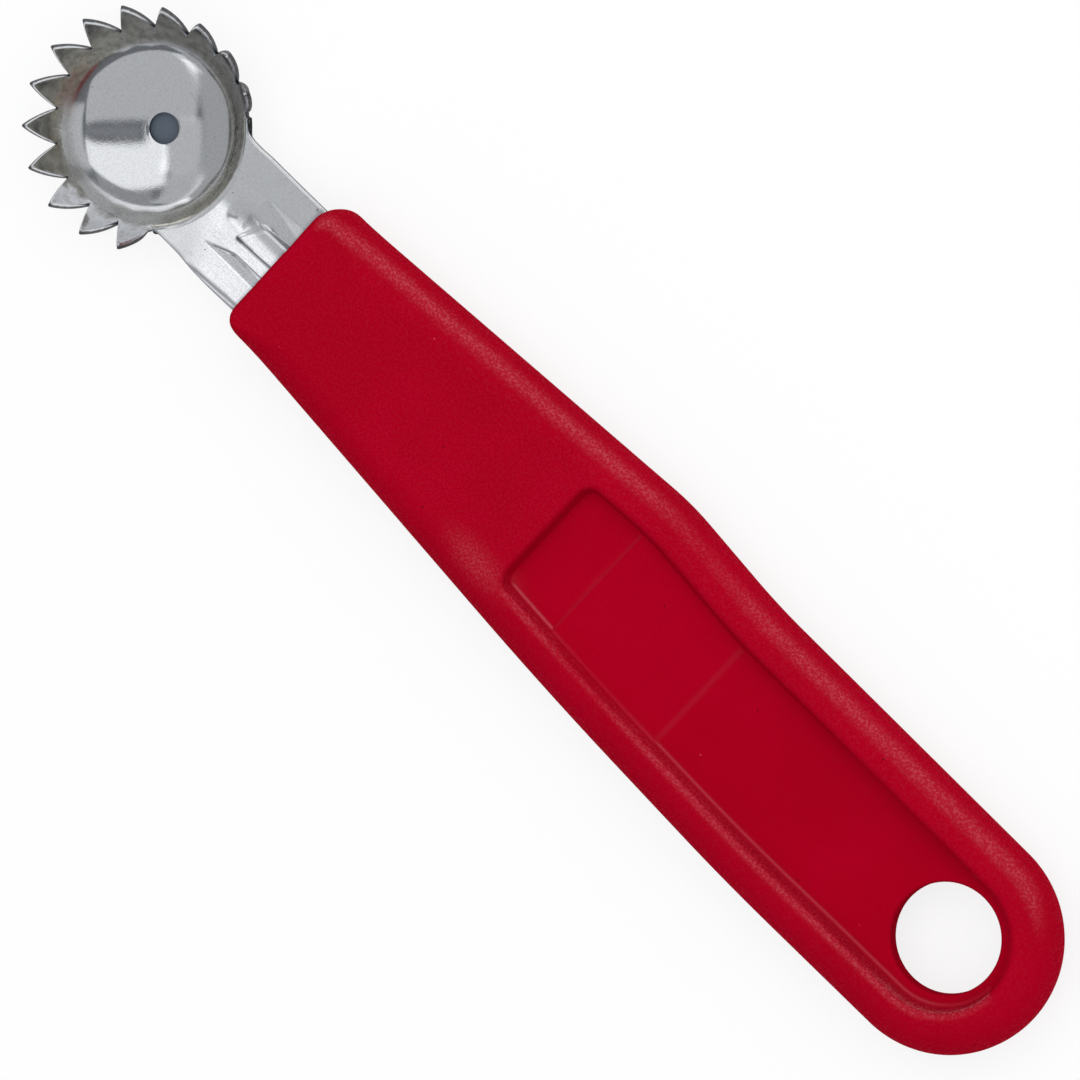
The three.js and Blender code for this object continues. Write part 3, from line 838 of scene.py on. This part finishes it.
# A quarter of the handle, one flank of one face: rows run from the outline's widest line over the
# round edge and the rim down into the recess, to the spine or the hang hole.
def gripQuarter(side, face):
    corners = grip["palmCorners"] if side > 0 else grip["thumbCorners"]
    slotEdge = "palmEdge" if side > 0 else "thumbEdge"
    slotHalf = abs(neckLines[slotEdge][1][0]) + grip["slotClearance"]
    points, normals, inner, ringCount, slotCount, flank = gripColumns(corners, slotHalf)
    x, y = points.T
    edge = grip["edgeRound"]
    grown = smooth(-x, 0, grip["mouthRun"])
    scale = grip["mouthEdge"] / edge + (1 - grip["mouthEdge"] / edge) * grown

    # the slot for the tang lifts the widest line to the slot's wall
    inSlot = np.arange(len(x)) < slotCount
    sheetHalf = neck["sheet"] / 2 + grip["slotClearance"]
    pressed = pressedHeight(0 * y, side * y)
    opening = np.where(inSlot, sheetHalf + face * pressed, 0)

    rows = np.concatenate([[0], rimInsets])[:, None]
    near = points + normals * (rows * scale)[:, :, None]
    start = near[-1]
    share = np.linspace(0, 1, gripGrid["floorRows"])[1:, None] ** gripGrid["floorCrowding"]
    far = start + (inner - start) * share[:, :, None]
    plan = np.concatenate([near, far])
    inset = np.concatenate([rows * scale, rows[-1] * scale + np.linalg.norm(far - start, axis=2)])

    toTop = edge - np.minimum(rimInsets, edge)
    edgeRise = np.concatenate([[0], halfThick - edge + np.sqrt(edge**2 - toTop**2)])
    rise = np.concatenate([edgeRise, np.full(len(far), halfThick)])
    sunk = recessDepth(plan[..., 0], plan[..., 1], flank)
    height = np.minimum(rise[:, None], recessHeight(sunk, floorHeight(plan[..., 0])))
    height = opening + height * (halfThick - opening) / halfThick
    top = np.dstack([plan[..., 0], side * plan[..., 1], halfThick + face * height])

    # painted highlight along the rims, the fillet and the pad's steps
    paintedSheen = gripSheen(plan[..., 0], plan[..., 1], inset, sunk, side)
    grained = 1 - (1 - grip["recessGrain"]) * smooth(sunk, *grip["grainFade"])
    flipped = side * face > 0
    patches = [(top, {"paintedSheen": paintedSheen, "grained": grained}, flipped)]

    # the hang hole's edge and wall, down to the mid-plane
    spokes = (inner[-ringCount:] - np.array([endX, 0])) / holeReach
    quarter = np.linspace(0, np.pi / 2, gripGrid["hole"])
    radius = np.concatenate([holeReach - grip["holeRound"] * np.sin(quarter), [grip["holeRadius"]]])
    drop = np.concatenate([grip["holeRound"] * (1 - np.cos(quarter)), [grip["web"] / 2]])
    wall = np.array([endX, 0]) + radius[:, None, None] * spokes
    wallZ = np.broadcast_to((grip["web"] / 2 - drop)[:, None], wall.shape[:2])
    hole = np.dstack([wall[..., 0], side * wall[..., 1], halfThick + face * wallZ])
    patches.append((hole, {"grained": grip["recessGrain"]}, flipped))

    # the pocket that the tang sits in
    back = -neck["tangLength"] - grip["slotClearance"]
    mouthRow = top[0, : slotCount + 1]
    inwards = np.linspace(0, 1, gripGrid["pocket"])[:, None]
    pocket = np.repeat(mouthRow[None], len(inwards), axis=0)
    pocket[..., 0] = mouthRow[:, 0] + (back - mouthRow[:, 0]) * inwards
    patches.append((pocket, {"grained": grip["recessGrain"]}, not flipped))
    return patches, pocket[-1]


def makeHandle():
    patches = []
    for side in (1, -1):
        ends = []
        for face in (1, -1):
            quarter, end = gripQuarter(side, face)
            patches.extend(quarter)
            ends.append(end)
        patches.append((np.stack(ends), {"grained": grip["recessGrain"]}, side < 0))
    mesh = meshOf("handleShell", patches, ("paintedSheen", "grained"))
    work = bmesh.new()
    work.from_mesh(mesh)
    bmesh.ops.recalc_face_normals(work, faces=work.faces)
    openEdges = sum(1 for edge in work.edges if len(edge.link_faces) != 2)
    work.to_mesh(mesh)
    work.free()
    mesh.set_sharp_from_angle(angle=np.radians(grip["sharpAngle"]))
    print("handle:", len(mesh.polygons), "faces,", openEdges, "open edges")
    piece = addPiece("handleShell", mesh, [redPlastic()])
    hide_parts("handle")
    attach(piece, "root")


makeHandle()


# Scoop: radii and heights of the sheet's inner face
scoop = {
    "reach": 22.9,
    "valleyRadius": 11.7,
    "tipRadius": 13.9,
    "toothRise": 4.7,
    "teeth": 13,
    "pitch": np.radians(20.3),
    "turn": np.radians(2.1),
    "tipLand": 0.25,
    "bowlDepth": 4.5,
    "dishRadius": 24.0,
    "dishEdge": 8.5,
    "edgeBend": 5.2,
    "drainRadius": 1.9,
    "drainShift": (-0.15, -0.14),
    "ringRun": -0.4,
    "bendLength": 0.35,
    "ridgeSetback": 0.3,
    "ridgeRise": 0.12,
    "valleyShare": 0.5,
    "valleyReach": 0.2,  # share of a tooth's pitch in which the last teeth bend into the neck
    "sharpAngle": 40,
    "bevel": 0.05,
    "bevelAngle": 50,
}
# Its painted shade, a darker brown tone, and its frost: limits of the directions to the palm side, the
# neck and the thumb side between which they grow, and how far each mark goes
scoopShadeAndFrost = {
    "palmFrom": (0.1, 0.8),
    "neckFrom": (-0.2, 0.8),
    "neckPalmFrom": (-0.7, -0.1),
    "thumbFrom": (0, 0.6),
    "thumbNeckFrom": (-0.4, 0.5),
    "steepStart": 0.5,  # share of the dish's bend that is painted with the brown shade, and what the thumb side adds
    "steepThumb": 0.5,
    "steepFull": 0.5,
    "palmLessShade": 0.9,
    "bendSteep": 0.75,
    "bendShadeEnd": (0.3, 0.6),
    "frostTeeth": (2.6, 3.4),  # teeth from the palm side
    "toothFrost": 0.65,
    "toothFoot": 0.4,
    "palmFrost": 0.42,
    "neckFrost": 0.3,
    "outer": 0.35,
}
# rows and columns of the mesh
scoopGrid = {
    "toothEdge": 11,
    "tooth": 7,
    "dish": 18,
    "edge": 8,
    "wall": 9,
    "out": 13,
    "neckBack": -1,  # where the close rows of the neck end, inside the handle
    "neck": 95,
    "tang": 8,
}
rimZ = neck["midHeight"] + neck["sheet"] / 2
neckHalfAngle = np.pi - scoop["teeth"] * scoop["pitch"] / 2
bowlZ = rimZ - scoop["bowlDepth"]
dishAngle = np.arcsin(scoop["dishEdge"] / scoop["dishRadius"])
bendPivot = scoop["dishRadius"] - scoop["edgeBend"]
pivotR = bendPivot * np.sin(dishAngle)
pivotZ = bowlZ + scoop["dishRadius"] - bendPivot * np.cos(dishAngle)
pivotReach = np.hypot(scoop["valleyRadius"] - pivotR, rimZ - pivotZ)
wallSlope = np.arctan2(rimZ - pivotZ, scoop["valleyRadius"] - pivotR)
wallSlope += np.arcsin(scoop["edgeBend"] / pivotReach)
wallLength = np.sqrt(pivotReach**2 - scoop["edgeBend"] ** 2)
bendRun = scoop["edgeBend"] * (wallSlope - dishAngle)
toothSpread = scoop["tipRadius"] - scoop["valleyRadius"]
curl = np.arctan2(scoop["toothRise"], toothSpread) - wallSlope
curlRadius = np.hypot(toothSpread, scoop["toothRise"]) / (2 * np.sin(curl))
toothLength = curlRadius * 2 * curl


# Radius and height of the bowl's inner face at a run along its profile from the teeth's valleys:
# a shallow dish, a rounder bend, a straight cone and the teeth, which curl on up to the tips.
def bowlProfile(run):
    onDish = run + wallLength + bendRun
    leans = (
        dishAngle + onDish / scoop["dishRadius"],
        dishAngle + onDish / scoop["edgeBend"],
        wallSlope,
        wallSlope + run / curlRadius,
    )
    parts = [onDish < 0, run < -wallLength, run < 0]
    radii = (
        scoop["dishRadius"] * np.sin(leans[0]),
        pivotR + scoop["edgeBend"] * np.sin(leans[1]),
        scoop["valleyRadius"] + run * np.cos(wallSlope),
    )
    heights = (
        bowlZ + scoop["dishRadius"] * (1 - np.cos(leans[0])),
        pivotZ - scoop["edgeBend"] * np.cos(leans[1]),
        rimZ + run * np.sin(wallSlope),
    )
    curledR = scoop["valleyRadius"] + curlRadius * (np.sin(leans[3]) - np.sin(wallSlope))
    curledZ = rimZ + curlRadius * (np.cos(wallSlope) - np.cos(leans[3]))
    return np.select(parts, radii, curledR), np.select(parts, heights, curledZ)


def roundScoop(radius, angle, height):
    x = scoop["reach"] + radius * np.cos(angle)
    y = radius * np.sin(angle)
    return np.dstack(np.broadcast_arrays(x, y, height))


# Angles of the teeth's edges and runs up them: even lines from each valley to the next tip and back.
def toothEdges(steps):
    first = np.pi + scoop["turn"] + neckHalfAngle
    land = scoop["tipLand"] / 2 / scoop["tipRadius"]
    share = np.linspace(0, 1, steps)
    rising = share * (scoop["pitch"] / 2 - land)
    angles = np.concatenate([rising, scoop["pitch"] - rising[::-1]])
    runs = toothLength * np.concatenate([share, share[::-1]])
    tooth = np.arange(scoop["teeth"])[:, None]
    allAngles = (first + tooth * scoop["pitch"] + angles[:-1]).ravel()
    allRuns = np.tile(runs[:-1], scoop["teeth"])
    last = first + scoop["teeth"] * scoop["pitch"]
    return np.append(allAngles, last), np.append(allRuns, runs[-1])


# The bend from the bowl's wall to the flat neck: a quadratic curve whose corner stands a little over
# the rim, so that a low ridge is left between them.
def neckBend(angle, share):
    wallR, wallZ = bowlProfile(np.array(scoop["ringRun"]))
    start = roundScoop(wallR, angle, wallZ)
    ridgeR = scoop["valleyRadius"] + scoop["ridgeSetback"]
    corner = roundScoop(ridgeR, angle, rimZ + scoop["ridgeRise"])
    end = corner - np.array([scoop["bendLength"], 0, scoop["ridgeRise"]])
    return quadratic(start, corner, end, share)


# Angles of the neck's columns at the rim, spread to the last valleys.
def neckAngles():
    columnCount = sum(lineSteps) + 1
    rimY = neckColumns(np.full((1, columnCount), neck["rimX"]))[0]
    palmEdge = scoop["valleyRadius"] * np.sin(neckHalfAngle - scoop["turn"])
    thumbEdge = scoop["valleyRadius"] * np.sin(neckHalfAngle + scoop["turn"])
    rimY = np.where(rimY > 0, rimY * palmEdge / rimY[0], rimY * thumbEdge / -rimY[-1])
    return np.pi - np.arcsin(rimY / scoop["valleyRadius"])


# Shares of the bowl's wall, by its angle, that lie on the palm side, before the neck and on the thumb
# side next to the neck.
def wallShares(angle):
    palmward = np.sin(angle)
    neckward = -np.cos(angle)
    palm = smooth(palmward, *scoopShadeAndFrost["palmFrom"])
    beforeNeck = smooth(neckward, *scoopShadeAndFrost["neckFrom"]) * smooth(palmward, *scoopShadeAndFrost["neckPalmFrom"])
    thumb = smooth(-palmward, *scoopShadeAndFrost["thumbFrom"]) * smooth(neckward, *scoopShadeAndFrost["thumbNeckFrom"])
    return palm, beforeNeck, thumb


# Dish and wall: the profile turned all round, its middle shifted to the drain hole.
def bowlPatch(around):
    drainAngle = np.arcsin(scoop["drainRadius"] / scoop["dishRadius"])
    drainRun = scoop["dishRadius"] * (drainAngle - dishAngle)
    runs = np.concatenate(
        [
            np.linspace(drainRun, 0, scoopGrid["dish"])[:-1] - wallLength - bendRun,
            np.linspace(-bendRun, 0, scoopGrid["edge"])[:-1] - wallLength,
            np.linspace(-wallLength, scoop["ringRun"], scoopGrid["wall"]),
        ]
    )
    radius, height = bowlProfile(runs)
    bowl = roundScoop(radius[:, None], around[None], height[:, None])
    towardsDrain = 1 - smooth(radius, scoop["drainRadius"], scoop["dishEdge"])
    bowl[..., :2] += towardsDrain[:, None, None] * np.array(scoop["drainShift"])
    palm, beforeNeck, thumb = wallShares(around[None])
    # painted shade: the darker brown tone on the dish's bend and the wall, mostly gone on the palm side
    steepFrom = -wallLength - bendRun * (scoopShadeAndFrost["steepStart"] + scoopShadeAndFrost["steepThumb"] * thumb)
    steep = smooth(runs[:, None], steepFrom, scoopShadeAndFrost["steepFull"] * steepFrom)
    steep = steep * (1 - scoopShadeAndFrost["palmLessShade"] * palm)
    wallRows = smooth(runs, -wallLength - bendRun, -wallLength)[:, None]
    frost = np.maximum(scoopShadeAndFrost["palmFrost"] * palm, scoopShadeAndFrost["neckFrost"] * beforeNeck) * wallRows
    return bowl, {"steep": steep, "frost": frost}, True


# Teeth: up the rest of the wall, then on up their own curl. Beside the neck they follow its bend.
def teethPatch(toothAngle, toothRun):
    steps = np.linspace(0, 1, scoopGrid["tooth"])[:, None]
    radius, height = bowlProfile(scoop["ringRun"] + steps * (toothRun - scoop["ringRun"]))
    teeth = roundScoop(radius, toothAngle[None], height)
    spread = np.minimum(toothAngle - toothAngle[0], toothAngle[-1] - toothAngle)
    near = np.clip(1 - spread / (scoop["valleyReach"] * scoop["pitch"]), 0, 1)[None, :, None] ** 2
    bent = neckBend(toothAngle[None], (steps * scoop["valleyShare"])[..., None])
    teeth = teeth + (bent - teeth) * near
    fromPalm = (toothAngle[-1] - toothAngle) / scoop["pitch"]
    frost = scoopShadeAndFrost["toothFrost"] * (1 - smooth(fromPalm, *scoopShadeAndFrost["frostTeeth"]))[None]
    footFrost = scoopShadeAndFrost["palmFrost"] * wallShares(toothAngle[None])[0]
    frost = frost + (footFrost - frost) * (1 - smooth(steps, 0, scoopShadeAndFrost["toothFoot"]))
    # painted shade: the teeth take the darker brown tone where they are not frosted
    return teeth, {"steep": 1 - frost, "frost": frost}, True


# Neck and tang: over the bend, out to a straight row, then along the strip, pressed as it goes.
def neckPatch(neckAngle):
    rows = scoopGrid["tooth"]
    toValley = np.linspace(0, scoop["valleyShare"], rows)
    pastValley = np.linspace(scoop["valleyShare"], 1, rows)[1:]
    bendShare = np.concatenate([toValley, pastValley])
    bend = neckBend(neckAngle[None], bendShare[:, None, None])
    startX = bend[-1, :, 0]
    out = np.linspace(0, 1, scoopGrid["out"])[1:, None]
    outX = startX + (neck["straightX"] - startX) * out
    neckX = np.linspace(neck["straightX"], scoopGrid["neckBack"], scoopGrid["neck"])[1:]
    tangX = np.linspace(scoopGrid["neckBack"], -neck["tangLength"], scoopGrid["tang"])[1:]
    strip = np.concatenate([neckX, tangX])[:, None]
    flatX = np.concatenate([outX, np.repeat(strip, len(startX), 1)])
    flatY = np.broadcast_to(bend[-1, :, 1], flatX.shape)
    sheet = np.concatenate([bend, np.dstack([flatX, flatY, np.full_like(flatX, rimZ)])])
    x, y, z = np.moveaxis(sheet, 2, 0)
    onLines = smooth(bend[rows - 1, :, 0] - x, 0, neck["settle"])
    y += (neckColumns(np.maximum(x, 0)) - y) * onLines
    flatRows = np.ones(len(flatX))
    fade = np.concatenate([smooth(bendShare, scoop["valleyShare"], 1.0), flatRows])[:, None]
    z += fade * pressedHeight(x, y)
    # painted shade: the brown tone on the bend into the neck, fading out along it
    unshaded = np.concatenate([smooth(bendShare, *scoopShadeAndFrost["bendShadeEnd"]), flatRows])[:, None]
    # painted reflection: a brighter steel on the palm half of the neck, fading before the bend
    dull = smooth(x + neck["dullSkew"] * y, *neck["dullAlong"])
    wear = {
        "steep": scoopShadeAndFrost["bendSteep"] * (1 - unshaded),
        # painted shade in the neck's creases, spots, palm edge and mouth band, with one dirt spot
        "shadeAndGrime": fade * neckShadeAndGrime(x, y),
        "frost": neck["frost"] * fade,
        "paintedSheen": fade * smooth(y, *neck["sheenAcross"]) * (1 - dull),
    }
    return sheet, wear, True


def makeBlade():
    toothAngle, toothRun = toothEdges(scoopGrid["toothEdge"])
    neckAngle = neckAngles()
    patches = [
        bowlPatch(np.concatenate([neckAngle, toothAngle[1:]])),
        teethPatch(toothAngle, toothRun),
        neckPatch(neckAngle),
    ]
    mesh = meshOf("scoopSheet", patches, bladeMasks)
    piece = addPiece("scoopSheet", mesh, [brightSteel(), cutSteel()])
    solid = piece.modifiers.new("sheet", "SOLIDIFY")
    solid.thickness = neck["sheet"] * mm
    solid.offset = -1
    solid.material_offset_rim = 1
    innerCount = len(mesh.vertices)
    finishMesh(piece, scoop["sharpAngle"])

    # the outer face is marked for the cut edge, and takes less of the painted shade and the frost
    outer = (np.arange(len(piece.data.vertices)) >= innerCount).astype(np.float32)
    across = piece.data.attributes.new("across", "FLOAT", "POINT")
    across.data.foreach_set("value", outer)
    for key in ("steep", "frost"):
        layer = piece.data.attributes[key].data
        wear = np.empty_like(outer)
        layer.foreach_get("value", wear)
        layer.foreach_set("value", wear * (1 - outer * (1 - scoopShadeAndFrost["outer"])))
    bevel = piece.modifiers.new("edges", "BEVEL")
    bevel.width = scoop["bevel"] * mm
    bevel.segments = 2
    bevel.limit_method = "ANGLE"
    bevel.angle_limit = np.radians(scoop["bevelAngle"])
    bevel.use_clamp_overlap = False
    finishMesh(piece, scoop["sharpAngle"])
    print("blade:", len(piece.data.polygons), "faces")
    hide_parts("scoop_blade")
    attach(piece, "root")


makeBlade()


# Studio: a pale floor, soft panels round the view and a plain even world. A panel has its angles to
# the right of the view and above it, its width and height in degrees, and its brightness.
studio = {
    "floorRadius": 3000,
    "floorDrop": 0.02,
    "floorGrid": (12, 65),  # rings and spokes
    "floorColour": (0.93, 0.93, 0.93, 1),
    "floorWhite": 0.8,
    "shadeRadius": 2.4,
    "shadeLift": 0.01,
    "shadeGrid": (4, 49),
    "shadeColour": (0.1, 0.12, 0.15, 1),
    "mattRoughness": 0.9,
    "lampDistance": 1.2,  # in metres
    "panelSoft": 4,  # degrees over which a panel fades at its edges
    "panels": {
        "panelUp": (-9, 21.7, 64, 30.5, 1.0),
        "panelStep": (-34, 3, 16, 14, 1.0),
        "panelDown": (-20, -32.3, 86, 59.5, 0.42),
        "panelLeft": (-51, 10, 28, 31, 0.45),
        "panelLeftTop": (-57, 36, 26, 29, 0.4),
        "panelFar": (-80, 0, 36, 94, 0.28),
        "panelGap": (-4, 2, 44, 9, 0.09),
        "panelRight": (52, 8, 52, 62, 0.45),
        "panelTop": (-9, 48, 50, 30, 0.18),
        "panelHigh": (-9, 74, 90, 26, 0.95),
        "panelLow": (-69, -30.5, 15, 15, 0.5),
        "fill": (0, 0, 90, 90, 0.87),
    },
    "unmirrored": ("fill",),
    "worldColour": (0.94, 0.98, 1.05, 1),
    "worldLevel": 0.2,
}


# A flat disc: rings of even width round its middle.
def discMesh(name, middleX, radius, height, ringCount, spokeCount):
    rings = radius * np.linspace(0, 1, ringCount)[:, None]
    angles = np.linspace(0, 2 * np.pi, spokeCount)[None]
    disc = np.dstack(
        np.broadcast_arrays(middleX + rings * np.cos(angles), rings * np.sin(angles), height)
    )
    mesh = bpy.data.meshes.new(name)
    faces = patchFaces(ringCount, spokeCount, 0, False)
    mesh.from_pydata((disc.reshape(-1, 3) * mm).tolist(), [], faces.tolist())
    weld(mesh)
    return mesh


def mattMaterial(name, colour):
    material, tree, shader = newMaterial(name)
    inputs = {
        "Base Color": colour,
        "Roughness": studio["mattRoughness"],
        "Specular IOR Level": 0.0,
    }
    feedInputs(tree, shader, inputs)
    return material, tree, shader


def makeFloor():
    mesh = discMesh("floor", 0, studio["floorRadius"], -studio["floorDrop"], *studio["floorGrid"])
    material, tree, shader = mattMaterial("paleFloor", studio["floorColour"])
    glow = addNode(tree, "ShaderNodeEmission", (), {"Color": (1, 1, 1, 1), "Strength": 1.0})
    path = addNode(tree, "ShaderNodeLightPath").outputs
    seen = mathNode(tree, "MAXIMUM", path["Is Camera Ray"], path["Is Glossy Ray"])
    seen = mathNode(tree, "MAXIMUM", seen, path["Is Transmission Ray"])
    share = mathNode(tree, "MULTIPLY", seen, studio["floorWhite"])
    mix = addNode(
        tree,
        "ShaderNodeMixShader",
        (),
        {0: share, 1: shader.outputs["BSDF"], 2: glow.outputs["Emission"]},
    )
    tree.links.new(mix.outputs[0], tree.nodes["Material Output"].inputs["Surface"])
    floor = addPiece("floor", mesh, [material])


# Painted shade seen through the drain hole: a small dark disc on the floor below it.
def makeDrainShade():
    middleX = mouthX + scoop["reach"]
    radius, lift = studio["shadeRadius"], studio["shadeLift"]
    mesh = discMesh("drainShade", middleX, radius, lift, *studio["shadeGrid"])
    material = mattMaterial("paintedHoleShade", studio["shadeColour"])[0]
    addPiece("drainShade", mesh, [material])


# A soft panel that faces the object: an area lamp that fades towards its edges.
def softPanel(name, rightAngle, upAngle, width, height, radiance):
    right, up, back = viewAxes()
    across, lift = np.radians([rightAngle, upAngle])
    level = right * np.sin(across) + back * np.cos(across)
    towards = level * np.cos(lift) + up * np.sin(lift)
    data = bpy.data.lights.new(name, "AREA")
    data.shape = "RECTANGLE"
    distance = studio["lampDistance"]
    data.size = 2 * distance * np.tan(np.radians(width) / 2)
    data.size_y = 2 * distance * np.tan(np.radians(height) / 2)
    data.energy = radiance * np.pi * data.size * data.size_y
    data.use_nodes = True
    tree = data.node_tree
    place = addNode(tree, "ShaderNodeNewGeometry").outputs["Parametric"]
    sides = addNode(tree, "ShaderNodeSeparateXYZ", (), {0: place}).outputs
    strength = 1.0
    for side, angle in ((sides["X"], width), (sides["Y"], height)):
        offset = mathNode(tree, "ABSOLUTE", mathNode(tree, "SUBTRACT", side, 0.5))
        inside = mathNode(tree, "SUBTRACT", 0.5, offset)
        fading = rangeNode(tree, inside, 0.0, studio["panelSoft"] / angle)
        strength = mathNode(tree, "MULTIPLY", strength, fading)
    feed(tree, tree.nodes["Emission"].inputs["Strength"], strength)
    lamp = bpy.data.objects.new(name, data)
    lamp.visible_camera = False
    lamp.visible_glossy = name not in studio["unmirrored"]
    lampRight = np.cross(up, towards)
    lampRight /= np.linalg.norm(lampRight)
    lampUp = np.cross(towards, lampRight)
    placeAt(lamp, lampRight, lampUp, towards, np.array(view["target"]) * mm + towards * distance)


def makeWorld():
    world = bpy.data.worlds.new("studio")
    bpy.context.scene.world = world
    world.use_nodes = True
    background = world.node_tree.nodes["Background"]
    background.inputs["Color"].default_value = studio["worldColour"]
    background.inputs["Strength"].default_value = studio["worldLevel"]


makeFloor()
makeDrainShade()
makeWorld()
for panelName, panel in studio["panels"].items():
    softPanel(panelName, *panel)
bpy.context.scene.view_settings.view_transform = "Standard"
print("studio lit")
